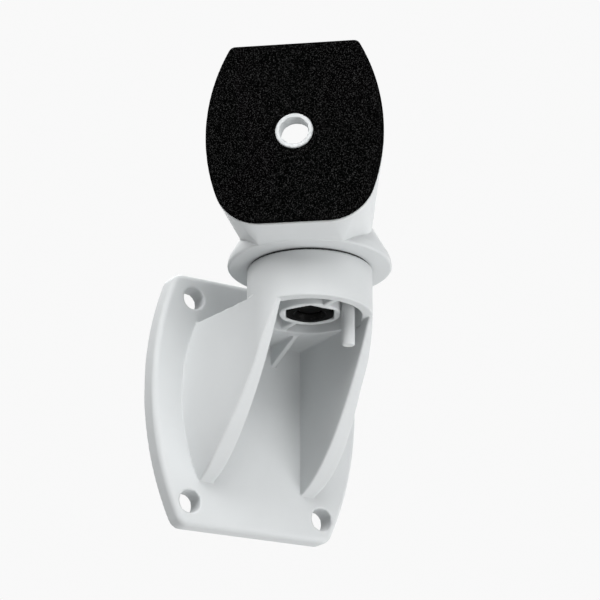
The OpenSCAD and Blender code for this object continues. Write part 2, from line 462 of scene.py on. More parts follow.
class Sketch:
    """A small hand for drawing shader nodes."""

    def __init__(self, tree: bpy.types.NodeTree) -> None:
        """Start on a node tree."""
        self.tree = tree

    def node(self, kind: str, links: dict | None = None, **values: object) -> bpy.types.Node:
        """Add a node.

        Args:
            kind: Name of the node's type.
            links: Sockets that feed its inputs, or plain values for them, by input name.
            values: Settings of the node itself.

        Returns:
            The new node.
        """
        node = self.tree.nodes.new(kind)
        for name, value in values.items():
            setattr(node, name, value)
        for name, source in (links or {}).items():
            if isinstance(source, Socket):
                self.tree.links.new(source, node.inputs[name])
            else:
                node.inputs[name].default_value = source
        return node

    def group(self, tree: bpy.types.NodeTree, **values: float) -> Socket:
        """The output of a node group, given its inputs by name with _ for a space."""
        inputs = {name.replace("_", " "): value for name, value in values.items()}
        return self.node("ShaderNodeGroup", inputs, node_tree=tree).outputs[0]

    def noise(self, **inputs: Socket | float) -> Socket:
        """Noise around 0.5 that is fixed to the object, given its inputs by name."""
        place = self.node("ShaderNodeTexCoord").outputs["Object"]
        return self.node("ShaderNodeTexNoise", {"Vector": place, **inputs}).outputs["Fac"]

    def combine(self, operation: str, a: Socket, b: Socket | float) -> Socket:
        """Two numbers combined by an operation."""
        return self.node("ShaderNodeMath", {0: a, 1: b}, operation=operation).outputs[0]

    def rise(self, value: Socket, low: float, high: float) -> Socket:
        """A mask that rises from 0 to 1 while a value goes from low to high."""
        links = {"Value": value, "From Min": low, "From Max": high}
        return self.node("ShaderNodeMapRange", links).outputs["Result"]

    def spread(self, mask: Socket, low: float, high: float) -> Socket:
        """A number that goes from low to high along a mask."""
        links = {"Value": mask, "To Min": low, "To Max": high}
        return self.node("ShaderNodeMapRange", links).outputs["Result"]

    def blend(self, mask: Socket, low: Colour, high: Colour) -> Socket:
        """Change from one colour to another along a mask.

        Args:
            mask: From 0 to 1 over the surface.
            low: Colour where the mask is 0.
            high: Colour where the mask is 1.

        Returns:
            The colour.
        """
        ramp = self.node("ShaderNodeValToRGB", {"Fac": mask})
        ramp.color_ramp.elements[0].color = low
        ramp.color_ramp.elements[1].color = high
        return ramp.outputs["Color"]

    def over(self, under: Socket, mask: Socket, colour: Colour) -> Socket:
        """A colour laid over another where a mask says so."""
        links = {MIX_FACTOR: mask, MIX_UNDER: under, MIX_OVER: colour}
        return self.node("ShaderNodeMix", links, data_type="RGBA").outputs[MIX_RESULT]


class Effects:
    """Surface effects that several finishes share, as shader node groups.

    Attributes:
        fine_grain: Two sizes of fine noise, for mould faces, oxide, fibre and foam skin.
        soft_marks: Broad faint patches, for flow in plastic, handling and dust.
        edge_wear: Outer edges, broken up by noise, where a plated or blackened skin rubs off first.
    """

    def __init__(self) -> None:
        """Build each group once."""
        self.fine_grain = self.make_fine_grain()
        self.soft_marks = self.make_soft_marks()
        self.edge_wear = self.make_edge_wear()

    def start(
        self, name: str, output: str, **inputs: float
    ) -> tuple[Sketch, bpy.types.NodeOutputs, Socket]:
        """Start a group that gives one number over the surface.

        Args:
            name: Name of the group.
            output: Name of its output.
            inputs: Default of each input, by name with _ for a space.

        Returns:
            A sketch on the group, the sockets of its inputs, and the socket that its result goes into.
        """
        tree = bpy.data.node_groups.new(name, "ShaderNodeTree")
        for label, value in inputs.items():
            socket = tree.interface.new_socket(
                label.replace("_", " "), in_out="INPUT", socket_type="NodeSocketFloat"
            )
            socket.default_value = value
        tree.interface.new_socket(output, in_out="OUTPUT", socket_type="NodeSocketFloat")
        given = tree.nodes.new("NodeGroupInput")
        result = tree.nodes.new("NodeGroupOutput")
        return Sketch(tree), given.outputs, result.inputs[output]

    def make_fine_grain(self) -> bpy.types.NodeTree:
        """Draw the fine grain.

        Returns:
            The group.
        """
        coarse_step = 0.3
        sketch, given, result = self.start("fine_grain", "Height", Scale=4000.0, Coarse_Share=0.35)
        fine = sketch.noise(Scale=given["Scale"], Detail=2.0)
        coarse_scale = sketch.combine("MULTIPLY", given["Scale"], coarse_step)
        coarse = sketch.noise(Scale=coarse_scale, Detail=1.0)
        links = {"Factor": given["Coarse Share"], "A": fine, "B": coarse}
        mixed = sketch.node("ShaderNodeMix", links)
        sketch.tree.links.new(mixed.outputs["Result"], result)
        return sketch.tree

    def make_soft_marks(self) -> bpy.types.NodeTree:
        """Draw the soft marks.

        Returns:
            The group.
        """
        faintest, fullest = 0.3, 0.7
        sketch, given, result = self.start("soft_marks", "Mask", Scale=60.0, Amount=1.0)
        patches = sketch.noise(Scale=given["Scale"], Detail=4.0, Distortion=0.6)
        marks = sketch.rise(patches, faintest, fullest)
        sketch.tree.links.new(sketch.combine("MULTIPLY", marks, given["Amount"]), result)
        return sketch.tree

    def make_edge_wear(self) -> bpy.types.NodeTree:
        """Draw the edge wear.

        Returns:
            The group.
        """
        bluntest, sharpest = 0.53, 0.6
        sketch, given, result = self.start("edge_wear", "Mask", Scale=1500.0, Amount=0.5)
        edges = sketch.node("ShaderNodeNewGeometry").outputs["Pointiness"]
        outer = sketch.rise(edges, bluntest, sharpest)
        broken = sketch.noise(Scale=given["Scale"], Detail=3.0)
        worn = sketch.combine("MULTIPLY", outer, broken)
        sketch.tree.links.new(sketch.combine("MULTIPLY", worn, given["Amount"]), result)
        return sketch.tree


@dataclass(frozen=True)
class Finish:
    """A surface finish.

    Attributes:
        slot: The record's slot that it belongs to.
        dark: Darkest colour of its patches.
        pale: Palest colour of its patches.
        smooth: Roughness of its smoothest patches.
        rough: Roughness of its roughest patches.
        metallic: How far it is a bare metal.
        specular: Strength of its plain reflection.
        patch_scale: Patches per metre.
        grain_scale: Grains per metre.
        grain_depth: Depth of the grain.
        coarse_share: Share of coarser grains among the fine ones.
        worn: Colour of worn edges, or None where nothing wears.
        specks: Colour of pale cells in the grain, or None where there are none.
        speck_span: Heights of the grain between which the cells turn pale.
    """

    slot: Slot
    dark: Colour
    pale: Colour
    smooth: float
    rough: float
    metallic: float = 0.0
    specular: float = 0.5
    patch_scale: float = 60.0
    grain_scale: float = 4000.0
    grain_depth: float = 0.01
    coarse_share: float = 0.35
    worn: Colour | None = None
    specks: Colour | None = None
    speck_span: tuple[float, float] = (0.53, 0.66)

    def material(self, effects: Effects) -> bpy.types.Material:
        """Build the finish as a material.

        Args:
            effects: The shared node groups.

        Returns:
            The new material.
        """
        made = bpy.data.materials.new(self.slot.value + "_finish")
        made.use_nodes = True
        sketch = Sketch(made.node_tree)
        shader = made.node_tree.nodes["Principled BSDF"]
        shader.inputs["Metallic"].default_value = self.metallic
        shader.inputs["Specular IOR Level"].default_value = self.specular
        marks = sketch.group(effects.soft_marks, Scale=self.patch_scale)
        grain = sketch.group(
            effects.fine_grain, Scale=self.grain_scale, Coarse_Share=self.coarse_share
        )
        colour = sketch.blend(marks, self.dark, self.pale)
        if self.specks:
            colour = sketch.over(colour, sketch.rise(grain, *self.speck_span), self.specks)
        if self.worn:
            colour = sketch.over(colour, sketch.group(effects.edge_wear), self.worn)
        links = {"Height": grain, "Strength": 1.0, "Distance": self.grain_depth * MM}
        bump = sketch.node("ShaderNodeBump", links)
        roughness = sketch.spread(marks, self.smooth, self.rough)
        sketch.tree.links.new(colour, shader.inputs["Base Color"])
        sketch.tree.links.new(roughness, shader.inputs["Roughness"])
        sketch.tree.links.new(bump.outputs["Normal"], shader.inputs["Normal"])
        return made


def grey(level: float, green: float = 1.0, blue: float = 1.0) -> Colour:
    """A grey, tinted by multiples of its green and blue."""
    return (level, level * green, level * blue, 1.0)


FINISHES = (
    Finish(
        Slot.PLASTIC,
        dark=grey(0.6, 1.03, 1.04),
        pale=grey(0.62, 1.03, 1.04),
        smooth=0.42,
        rough=0.5,
        specular=0.2,
        grain_depth=0.004,
    ),
    # Near black: the ring between skirt and hub is a washer, and its dark colour also paints the shade that falls
    # in the gap under the skirt.
    Finish(
        Slot.RING,
        dark=grey(0.03),
        pale=grey(0.045),
        smooth=0.7,
        rough=0.85,
        specular=0.3,
        grain_scale=2500.0,
        grain_depth=0.03,
        specks=grey(0.05),
    ),
    Finish(
        Slot.BLACK_STEEL,
        dark=grey(0.0015),
        pale=grey(0.004),
        smooth=0.42,
        rough=0.55,
        specular=0.03,
        patch_scale=300.0,
        grain_scale=6000.0,
        grain_depth=0.006,
        worn=grey(0.03),
    ),
    Finish(
        Slot.ZINC,
        dark=grey(0.36),
        pale=grey(0.46, 1.01, 1.02),
        smooth=0.3,
        rough=0.45,
        metallic=1.0,
        patch_scale=300.0,
        grain_scale=5000.0,
        grain_depth=0.004,
        worn=grey(0.55),
    ),
    Finish(
        Slot.FILM,
        dark=(0.36, 0.33, 0.27, 1.0),
        pale=(0.42, 0.39, 0.33, 1.0),
        smooth=0.35,
        rough=0.5,
        patch_scale=200.0,
    ),
    Finish(
        Slot.FOAM,
        dark=grey(0.0004),
        pale=grey(0.0007),
        smooth=0.85,
        rough=0.95,
        specular=0.003,
        grain_scale=3700.0,
        grain_depth=0.06,
        coarse_share=0.12,
        specks=grey(0.026),
    ),
)


@dataclass
class Wardrobe:
    """The finishes, ready to dress pieces with.

    Attributes:
        effects: The shared node groups.
        materials: The material of each slot.
    """

    effects: Effects = field(default_factory=Effects)
    materials: dict[Slot, bpy.types.Material] = field(default_factory=dict)

    def __post_init__(self) -> None:
        """Build every finish."""
        for finish in FINISHES:
            self.materials[finish.slot] = finish.material(self.effects)

    def dress(self, piece: bpy.types.Object, slot: Slot) -> None:
        """Give a piece one finish all over."""
        piece.data.materials.clear()
        piece.data.materials.append(self.materials[slot])

    def enter(self, piece: bpy.types.Object, slot: Slot, body: Body, node: str) -> bpy.types.Object:
        """Dress a new piece and put it in the place of a frame node.

        Args:
            piece: The new piece.
            slot: The finish that it takes.
            body: The body that it rides on.
            node: The frame node that it stands for.

        Returns:
            The piece.
        """
        self.dress(piece, slot)
        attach(piece, body.value)
        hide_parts(node)
        return piece

    def keep(self, node: str, slot: Slot) -> bpy.types.Object:
        """Dress a frame node that shows as it is.

        Args:
            node: Name of the node.
            slot: The finish that it takes.

        Returns:
            The node's object.
        """
        piece = frame["nodes"][node]
        self.dress(piece, slot)
        return piece


@dataclass
class WallBracket:
    """The fixed moulding: wall plate, gussets, deck and hub.

    Attributes:
        swivel: The axis of the hub.
        skin: How the moulding is meshed.
        plate_side_r: Radius of the plate's bowed sides.
        plate_widest: Where the plate is widest, above its middle.
        plate_corner_r: Radius of the plate's corners.
        plate_edge_r: Rounding of the plate's front edge.
        soft_edge: Rounding of other edges.
        fillet: Filling of inner corners.
        hole_edge_r: Rounding of the wall holes' rims.
        gusset_gap: Space between the gussets.
        gusset_base_w: Width over the gussets at the plate.
        gusset_base_r: Radius of their bowed sides at the plate.
        gusset_widest: Where they are widest at the plate.
        gusset_flare: How suddenly they spread towards the plate.
        gusset_foot: How far below the middle they end.
        gusset_front: How far their front edge passes the axis.
        gusset_edge_r: Rounding of their front edges.
        foot_pull: How the front edge leaves the plate, outwards and upwards.
        top_pull: How it arrives at the hub, outwards and upwards.
        deck_top: Height of the deck's upper face.
        deck_t: Thickness of the deck.
        hub_drop: How far the hub reaches below the deck.
        hub_wall: Thickness of the hub's wall.
        hub_roof: Thickness of the hub's roof.
        boss_d: Diameter of the nut's boss.
        boss_rise: How far the boss ends above the hub's rim.
        rib_t: Thickness of the ribs.
        rib_pitch: Distance between the two deck ribs.
        rib_depth: Depth of the deck ribs at the plate.
        bolt_hole_r: Radius of the bolt's hole.
        nut_clear: Gap around the nut.
        post_d: Diameter of the stop post that runs in the slot.
        post_r: Distance of the post from the axis.
        post_clear: Gap around the post.
        overshoot: How far a cut runs on past the face that it opens.
    """

    swivel: Swivel
    skin: Skin = Skin(0.5)
    plate_side_r: float = 77.0
    plate_widest: float = 3.4
    plate_corner_r: float = 3.4
    plate_edge_r: float = 1.5
    soft_edge: float = 0.35
    fillet: float = 0.15
    hole_edge_r: float = 0.25
    gusset_gap: float = 23.8
    gusset_base_w: float = 41.6
    gusset_base_r: float = 48.0
    gusset_widest: float = 1.0
    gusset_flare: float = 1.4
    gusset_foot: float = 20.2
    gusset_front: float = 7.4
    gusset_edge_r: float = 0.4
    foot_pull: tuple[float, float] = (11.6, 2.4)
    top_pull: tuple[float, float] = (7.0, 15.2)
    deck_top: float = 19.2
    deck_t: float = 2.6
    hub_drop: float = 0.4
    hub_wall: float = 2.6
    hub_roof: float = 3.0
    boss_d: float = 14.6
    boss_rise: float = 0.4
    rib_t: float = 1.4
    rib_pitch: float = 8.4
    rib_depth: float = 5.4
    bolt_hole_r: float = 3.255
    nut_clear: float = 0.1
    post_d: float = 2.9
    post_r: float = 9.2
    post_clear: float = 0.4
    overshoot: float = 1.0

    def __post_init__(self) -> None:
        """Work out the remaining sizes from the frame."""
        low, high = node_box("wall_bracket")
        nut_low, nut_high = node_box("hex_nut")
        holes = mount("wall_screw_holes")
        self.box = (low, high)
        self.plate_t = -holes["pos_m"][1] / MM
        self.hole_x = holes["dims"]["spacing_x_mm"] / 2
        self.hole_z = holes["dims"]["spacing_y_mm"] / 2
        self.hole_r = holes["dims"]["hole_r_mm"]
        self.hub_r = -low.y - self.swivel.reach
        self.hub_top = node_box("friction_ring")[0].z
        self.deck_bottom = self.deck_top - self.deck_t
        self.hub_bottom = self.deck_bottom - self.hub_drop
        self.roof_bottom = self.hub_top - self.hub_roof
        self.nut_top = nut_high.z
        self.nut_flats = nut_high.y - nut_low.y
        self.outline = BarrelOutline(
            high.x - low.x,
            high.z - low.z,
            self.plate_side_r,
            self.plate_widest,
            self.plate_corner_r,
            self.plate_corner_r,
        )
        self.edge_line = self.front_edge()

    def front_edge(self) -> Array:
        """Draw the gussets' curved front edge, with straight ends that run on.

        Returns:
            Points of distance from the wall and height, one per row.
        """
        steps = 24
        run_on = 3.0
        foot = np.array([self.plate_t, -self.gusset_foot])
        top = np.array([self.swivel.reach + self.gusset_front, self.hub_bottom])
        low = foot + self.foot_pull
        high = top - self.top_pull
        t = np.linspace(0.0, 1.0, steps)[:, None]
        lower = (1 - t) ** 3 * foot + 3 * t * (1 - t) ** 2 * low
        upper = 3 * t**2 * (1 - t) * high + t**3 * top
        before = foot - run_on * (low - foot)
        after = top + run_on * (top - high)
        return np.concatenate([[before], lower + upper, [after]])

    def plate(self, x: Array, out: Array, z: Array) -> Array:
        """The wall plate, its front edge well rounded, from the distance sideways, outwards and up."""
        slab = meet(self.outline.distance(x, z), out - self.plate_t, self.plate_edge_r)
        return meet(slab, -out, self.soft_edge)

    def flare(self, x: Array, out: Array, z: Array) -> Array:
        """Measure from the gussets' outer faces, which spread from the hub's round side to the plate.

        Args:
            x: Sideways from the middle.
            out: Away from the wall.
            z: Height.

        Returns:
            Distance outside the two faces.
        """
        least_bow = 1.0
        span = self.swivel.reach - self.plate_t
        share = np.clip((self.swivel.reach - out) / span, 0.0, None)
        bow = np.sqrt(np.maximum(self.gusset_base_r**2 - (z - self.gusset_widest) ** 2, least_bow))
        spread = self.gusset_base_w / 2 - self.gusset_base_r + bow - self.hub_r
        half = self.hub_r + spread * share**self.gusset_flare
        outward = spread * self.gusset_flare * share ** (self.gusset_flare - 1) / span
        upward = (z - self.gusset_widest) / bow * share**self.gusset_flare
        faces = (np.abs(x) - half) / np.sqrt(1 + outward**2 + upward**2)
        round_side = np.hypot(x, out - self.swivel.reach) - self.hub_r
        return np.where(out < self.swivel.reach, faces, round_side)

    def gussets(self, x: Array, out: Array, z: Array) -> Array:
        """The two gussets and the deck over them.

        Args:
            x: Sideways from the middle.
            out: Away from the wall.
            z: Height.

        Returns:
            Distance outside them.
        """
        behind_hub = np.clip((self.swivel.reach - out) / self.hub_r, 0.0, 1.0)
        column = meet(self.flare(x, out, z), z - self.deck_top, self.soft_edge * behind_hub)
        column = meet(column, right_of_line(self.edge_line, out, z), self.gusset_edge_r)
        space = meet(np.abs(x) - self.gusset_gap / 2, z - self.deck_bottom, self.fillet)
        inside_plate = self.plate_t / 2 - out
        column = cut(column, np.maximum(space, inside_plate), self.gusset_edge_r)
        return np.maximum(column, inside_plate)

    def deck_ribs(self, x: Array, out: Array, z: Array) -> Array:
        """The two ribs under the deck, deepest at the plate.

        Args:
            x: Sideways from the middle.
            out: Away from the wall.
            z: Height.

        Returns:
            Distance outside them.
        """
        hub_depth = math.sqrt(self.hub_r**2 - (self.rib_pitch / 2) ** 2)
        end = self.swivel.reach - hub_depth + self.hub_wall / 2
        lower = self.deck_bottom - self.rib_depth
        rise = (self.hub_bottom - lower) / (end - self.plate_t)
        edge = (lower + rise * (out - self.plate_t) - z) / math.hypot(1.0, rise)
        faces = np.abs(np.abs(x) - self.rib_pitch / 2) - self.rib_t / 2
        rib = meet(faces, edge, self.soft_edge)
        return np.maximum(np.maximum(rib, z - self.deck_top), between(out, 0.0, end))

    def hub_inside(self, x: Array, out: Array, z: Array) -> Array:
        """The boss for the nut, and the ribs that run from it to the hub's wall.

        Args:
            x: Sideways from the middle.
            out: Away from the wall.
            z: Height.

        Returns:
            Distance outside them.
        """
        across = np.hypot(x, out - self.swivel.reach)
        end = self.hub_bottom + self.boss_rise - z
        boss = meet(across - self.boss_d / 2, end, self.soft_edge)
        ribs = meet(np.abs(x) - self.rib_t / 2, end, self.soft_edge)
        ribs = np.maximum(ribs, across - self.hub_r + self.hub_wall / 2)
        return np.maximum(join(boss, ribs, self.fillet), z - self.roof_bottom - self.hub_roof / 2)

    def stop_slot(self, x: Array, out: Array, z: Array) -> Array:
        """The way that the stop post takes through the roof, from rib to rib on the right-hand side.

        Args:
            x: Sideways from the middle.
            out: Away from the wall.
            z: Height.

        Returns:
            Distance outside it.
        """
        across = np.hypot(x, out - self.swivel.reach)
        way = np.abs(across - self.post_r) - self.post_d / 2 - self.post_clear
        below = self.roof_bottom - self.overshoot - z
        return np.maximum(np.maximum(way, self.rib_t / 2 - x), below)

    def solid(self, x: Array, y: Array, z: Array) -> Array:
        """The whole moulding.

        Args:
            x: Sideways from the middle.
            y: Towards the wall.
            z: Height.

        Returns:
            Distance outside it.
        """
        out = -y
        across = np.hypot(x, out - self.swivel.reach)
        hub = meet(across - self.hub_r, between(z, self.hub_bottom, self.hub_top), self.soft_edge)
        body = np.minimum(join(self.plate(x, out, z), self.gussets(x, out, z), self.fillet), hub)
        cavity = meet(across - self.hub_r + self.hub_wall, z - self.roof_bottom, self.fillet)
        cavity = np.maximum(cavity, self.hub_bottom - self.overshoot - z)
        body = cut(body, cavity, self.soft_edge)
        body = cut(body, self.stop_slot(x, out, z), self.soft_edge)
        body = join(body, self.hub_inside(x, out, z), self.fillet)
        body = join(body, self.deck_ribs(x, out, z), self.fillet)
        nut = hexagon(x, out - self.swivel.reach, self.nut_flats + 2 * self.nut_clear)
        body = cut(body, np.maximum(nut, z - self.nut_top), self.soft_edge)
        body = cut(body, across - self.bolt_hole_r, self.soft_edge)
        holes = np.hypot(np.abs(x) - self.hole_x, np.abs(z) - self.hole_z) - self.hole_r
        holes = np.maximum(holes, out - self.plate_t - self.overshoot)
        return cut(body, holes, self.hole_edge_r)

    def build(self, wardrobe: Wardrobe) -> list[bpy.types.Object]:
        """Make the moulding and dress its ring.

        Args:
            wardrobe: The finishes.

        Returns:
            The pieces.
        """
        moulding = self.skin.wrap("bracket_moulding", self.solid, self.box, Matrix())
        wardrobe.enter(moulding, Slot.PLASTIC, Body.BRACKET, "wall_bracket")
        # The ring keeps its near-black finish, which also paints the shade in the gap between skirt and hub.
        return [moulding, wardrobe.keep("friction_ring", Slot.RING)]


@dataclass
class SwivelHead:
    """The turning moulding: skirt, hollow arm, padded plate and stop post.

    Attributes:
        swivel: The axis that it turns on.
        skin: How the moulding is meshed.
        pad_skin: How the pad is meshed.
        skirt_d: Diameter of the skirt.
        skirt_rim: Height of its straight rim.
        skirt_flare_h: Height over which it narrows to the neck.
        skirt_edge_r: Rounding of its rim.
        neck_d: Diameter of the neck.
        neck_h: Height of the neck at its rear.
        neck_foot_h: Height of the neck's tapered foot.
        neck_foot_in: How far the foot tapers in.
        toe_in: How far inside the skirt's rim the arm's underside comes down.
        toe_turn: How far it does so to each side of straight ahead, in degrees.
        floor_t: Thickness of the hollow's floor.
        wall: Thickness of the arm's walls.
        mouth_drop: How deep the arm's slanted back is cut off to open it.
        hollow_r: Filling of the hollow's inner corners.
        rim_r: Rounding of the hollow's rim.
        plate_t: Thickness of the padded plate.
        plate_margin: How far the plate stands out around the pad.
        plate_draft: How far the plate's edge leans in towards its back.
        plate_edge_r: Rounding of the plate's front edge.
        soft_edge: Rounding of other edges.
        fillet: Filling of inner corners.
        bolt_hole_r: Radius of the bolt's hole.
        post_d: Diameter of the stop post.
        post_r: Distance of the post from the axis.
        hole_edge_r: Rounding of the device hole's rims.
        collar_lip: How far the hole narrows in its collar, towards the pad's face.
        pad_w: Greatest width of the pad.
        pad_top_w: Width of the pad at its ends.
        pad_h: Height of the pad.
        pad_t: Thickness of the foam.
        film_t: Thickness of the adhesive film.
        pad_top_r: Radius of the pad's upper corners.
        pad_bottom_r: Radius of the pad's lower corners.
        pad_hole_d: Diameter of the hole in the pad.
        pad_edge_r: Rounding of the foam's cut edge.
        pad_hole_edge_r: Rounding of the rim of the foam's hole.
        cell_size: Size of the foam's surface cells.
        cell_depth: Depth of the foam's surface cells.
        arc_steps: Points in each arc of an outline that the arm is stretched over.
        side_room: Room beside the skirt for the wider plate.
    """

    swivel: Swivel
    skin: Skin = Skin(0.4, rounds=3)
    pad_skin: Skin = Skin(0.4)
    skirt_d: float = 39.2
    skirt_rim: float = 1.6
    skirt_flare_h: float = 10.0
    skirt_edge_r: float = 0.6
    neck_d: float = 28.0
    neck_h: float = 14.0
    neck_foot_h: float = 3.5
    neck_foot_in: float = 4.5
    toe_in: float = 0.4
    toe_turn: float = 30.0
    floor_t: float = 6.0
    wall: float = 2.4
    mouth_drop: float = 3.0
    hollow_r: float = 1.0
    rim_r: float = 0.8
    plate_t: float = 2.8
    plate_margin: float = 0.05
    plate_draft: float = 0.9
    plate_edge_r: float = 0.25
    soft_edge: float = 0.4
    fillet: float = 0.1
    bolt_hole_r: float = 3.255
    post_d: float = 3.1
    post_r: float = 9.1
    hole_edge_r: float = 0.2
    collar_lip: float = 0.3
    pad_w: float = 41.2
    pad_top_w: float = 29.8
    pad_h: float = 44.6
    pad_t: float = 1.3
    film_t: float = 0.2
    pad_top_r: float = 1.5
    pad_bottom_r: float = 11.0
    pad_hole_d: float = 8.8
    pad_edge_r: float = 0.35
    pad_hole_edge_r: float = 0.1
    cell_size: float = 0.7
    cell_depth: float = 0.05
    arc_steps: int = 20
    side_room: float = 2.0

    def __post_init__(self) -> None:
        """Work out the remaining sizes from the frame."""
        hole = mount("device_screw_hole")
        face = Vector(mount("pad_face")["pos_m"]) / MM
        low, high = node_box("swivel_head")
        self.hole_r = hole["dims"]["r_mm"]
        self.hole_z = hole["pos_m"][2] / MM
        self.bottom = node_box("friction_ring")[1].z
        self.floor_top = self.bottom + self.floor_t
        self.post_end = low.z
        self.top = high.z
        self.pad_front = -(self.swivel.turned.inverted() @ face).y
        self.plate_front = self.pad_front - self.pad_t - self.film_t
        self.plate_back = self.plate_front - self.plate_t
        narrowing = self.pad_w - self.pad_top_w
        bow_r = ((narrowing / 2) ** 2 + (self.pad_h / 2) ** 2) / narrowing
        self.pad = BarrelOutline(
            self.pad_w, self.pad_h, bow_r, 0.0, self.pad_top_r, self.pad_bottom_r
        )
        self.arm_cover = StretchedSolid(self.arm_points())

    def ring(self, r: float, z: float, turn: float = 180.0) -> Array:
        """Give points around the axis at a height.

        Args:
            r: Distance from the axis.
            z: Height.
            turn: How far they go to each side of straight ahead, in degrees.

        Returns:
            The points, one per row.
        """
        step = 6.0
        steps = 2 * round(turn / step) + 1
        angles = np.linspace(-math.radians(turn), math.radians(turn), steps)
        return np.stack([r * np.sin(angles), -r * np.cos(angles), np.full(steps, z)], axis=1)

    def stood_up(self, outline: Array, ahead: float) -> Array:
        """An outline stood up ahead of the axis, its middle at the device hole's height."""
        u, v = outline.T
        return np.stack([u, np.full(len(u), -ahead), v + self.hole_z], axis=1)

    def arm_points(self) -> Array:
        """Give the points that the arm is stretched over: the padded plate, the toe and the neck.

        Returns:
            The points, one per row.
        """
        back = self.pad.grown(self.plate_margin - self.plate_draft).rim(self.arc_steps)
        front = self.pad.grown(self.plate_margin).rim(self.arc_steps)
        past_front = self.plate_front + 2 * self.plate_edge_r
        neck_r = self.neck_d / 2
        return np.concatenate([
            self.stood_up(back, self.plate_back),
            self.stood_up(front, self.plate_front),
            self.stood_up(front, past_front),
            self.ring(self.skirt_d / 2 - self.toe_in, self.bottom, self.toe_turn),
            self.ring(neck_r - self.neck_foot_in, self.bottom),
            self.ring(neck_r, self.bottom + self.neck_foot_h),
            self.ring(neck_r, self.bottom + self.neck_h),
        ])

    def mouth(self, ahead: Array, z: Array) -> Array:
        """Describe the space behind the plate that is cut off the arm's slanted back to open it.

        Args:
            ahead: Distance ahead of the axis.
            z: Height.

        Returns:
            Distance outside that space.
        """
        crest = self.hole_z + self.pad_h / 2
        slant = (crest - self.bottom - self.neck_h) / (self.plate_back + self.neck_d / 2)
        above = (z - crest + slant * (self.plate_back - ahead)) / math.hypot(1.0, slant)
        return meet(-above - self.mouth_drop, ahead - self.plate_back, self.rim_r)

    def collar(self, ahead: Array, from_hole: Array) -> Array:
        """The collar that stands through the pad, flush with its face, before its hole is cut."""
        column = meet(from_hole - self.pad_hole_d / 2, ahead - self.pad_front, self.hole_edge_r)
        return np.maximum(column, self.plate_front - self.plate_t / 2 - ahead)

    def device_hole(self, ahead: Array, from_hole: Array) -> Array:
        """The device hole, which narrows a little in its collar."""
        share = np.clip((ahead - self.plate_front) / (self.pad_front - self.plate_front), 0.0, 1.0)
        return np.maximum(from_hole - self.hole_r + self.collar_lip * share, -ahead)

    def skirt(self, across: Array, z: Array) -> Array:
        """The skirt: a straight rim, then a flare that narrows to the neck.

        Args:
            across: Distance from the axis.
            z: Height.

        Returns:
            Distance outside it.
        """
        rim_r = self.skirt_d / 2
        rim_top = self.bottom + self.skirt_rim
        narrowing = rim_r - self.neck_d / 2
        slant = math.hypot(self.skirt_flare_h, narrowing)
        flare = ((across - rim_r) * self.skirt_flare_h + (z - rim_top) * narrowing) / slant
        upper = np.maximum(flare, z - rim_top - self.skirt_flare_h)
        rim = meet(across - rim_r, upper, self.skirt_edge_r)
        return meet(rim, self.bottom - z, self.skirt_edge_r)

    def solid(self, x: Array, y: Array, z: Array) -> Array:
        """The whole moulding, in the frame that turns with it.

        Args:
            x: Sideways from the axis.
            y: Behind the axis.
            z: Height.

        Returns:
            Distance outside it.
        """
        across = np.hypot(x, y)
        outside = self.arm_cover(x, y, z)
        arm = meet(outside, -y - self.plate_front, self.plate_edge_r)
        arm = meet(arm, self.bottom - z, self.soft_edge)
        arm = cut(arm, self.mouth(-y, z), self.rim_r)
        body = join(self.skirt(across, z), arm, self.fillet)
        hollow = meet(outside + self.wall, self.floor_top - z, self.hollow_r)
        hollow = meet(hollow, -y - self.plate_back, self.hollow_r)
        body = cut(body, hollow, self.rim_r)
        body = cut(body, across - self.bolt_hole_r, self.soft_edge)
        from_hole = np.hypot(x, z - self.hole_z)
        body = np.minimum(body, self.collar(-y, from_hole))
        body = cut(body, self.device_hole(-y, from_hole), self.hole_edge_r)
        post = meet(np.hypot(x - self.post_r, y) - self.post_d / 2, self.post_end - z, self.soft_edge)
        post = np.maximum(post, z - self.bottom - self.floor_t / 2)
        return join(body, post, self.soft_edge)

    def foam(self, x: Array, y: Array, z: Array) -> Array:
        """The foam sheet, cut to its outline with a round hole.

        Args:
            x: Sideways from the axis.
            y: Behind the axis.
            z: Height.

        Returns:
            Distance outside it.
        """
        up = z - self.hole_z
        hole = np.hypot(x, up) - self.pad_hole_d / 2
        sheet = cut(self.pad.distance(x, up), hole, self.pad_hole_edge_r)
        sheet = meet(sheet, -y - self.pad_front, self.pad_edge_r)
        return np.maximum(sheet, y + self.plate_front + self.film_t)

    def pit(self, pad: bpy.types.Object) -> None:
        """Press the foam's open cells into its front face.

        Args:
            pad: The smooth pad.
        """
        octaves = 2
        ahead = np.array(self.swivel.turned.to_3x3() @ Vector((0.0, -1.0, 0.0)))
        vertices = pad.data.vertices
        points = np.empty(3 * len(vertices), np.float32)
        normals = np.empty(3 * len(vertices), np.float32)
        vertices.foreach_get("co", points)
        vertices.foreach_get("normal", normals)
        points = points.reshape(-1, 3)
        facing = np.maximum(normals.reshape(-1, 3) @ ahead, 0.0)
        size = self.cell_size * MM
        cells = [noise.turbulence(Vector(point) / size, octaves, True) for point in points]
        depths = facing * np.array(cells) * self.cell_depth * MM
        vertices.foreach_set("co", (points - depths[:, None] * ahead).ravel())
        pad.data.attributes.remove(pad.data.attributes["custom_normal"])

